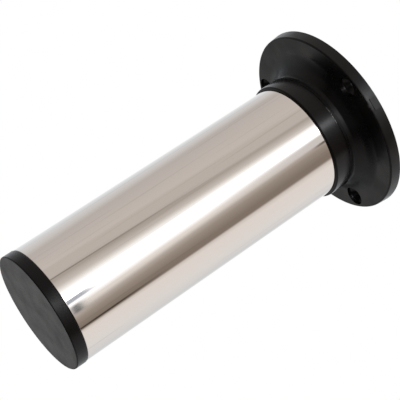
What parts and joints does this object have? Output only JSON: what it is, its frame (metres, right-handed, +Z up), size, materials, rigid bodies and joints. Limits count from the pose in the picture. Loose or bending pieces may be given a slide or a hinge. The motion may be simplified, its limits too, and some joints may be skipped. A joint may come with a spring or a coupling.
{
  "type": "adjustable cabinet leg",
  "caption": "Round plated tube leg with a screw-on mounting flange at the top and a screw-in foot at the bottom that sets the height.",
  "frame": {"origin": "middle of the foot's underside, with the foot screwed right in", "axes": "+Z up along the leg's axis to the mounting face; -Y towards the first screw hole"},
  "size_m": [0.0822, 0.0822, 0.15],
  "materials": {
    "black_plastic": "satin",
    "chrome_plate": "polished",
    "zinc_plated_steel": "zinc plated"
  },
  "bodies": {
    "leg": {"mounting_flange": "black_plastic", "top_plug": "black_plastic", "leg_tube": "chrome_plate", "foot_bush": "black_plastic", "hex_nut": "zinc_plated_steel"},
    "adjuster": {"adjusting_stud": "zinc_plated_steel"},
    "foot": {"foot_pad": "black_plastic"}
  },
  "joints": [
    {"name": "foot_travel", "type": "slide", "parent": "leg", "child": "adjuster", "axis": [0, 0, -1], "range_m": [0, 0.02]},
    {"name": "foot_turn", "type": "hinge", "parent": "adjuster", "child": "foot", "pos_m": [0, 0, 0], "axis": [0, 0, -1], "range_deg": [0, 4800]}
  ],
  "couplings": [
    {"joint": "foot_travel", "follows": "foot_turn", "m_per_rad": 0.00023873}
  ]
}
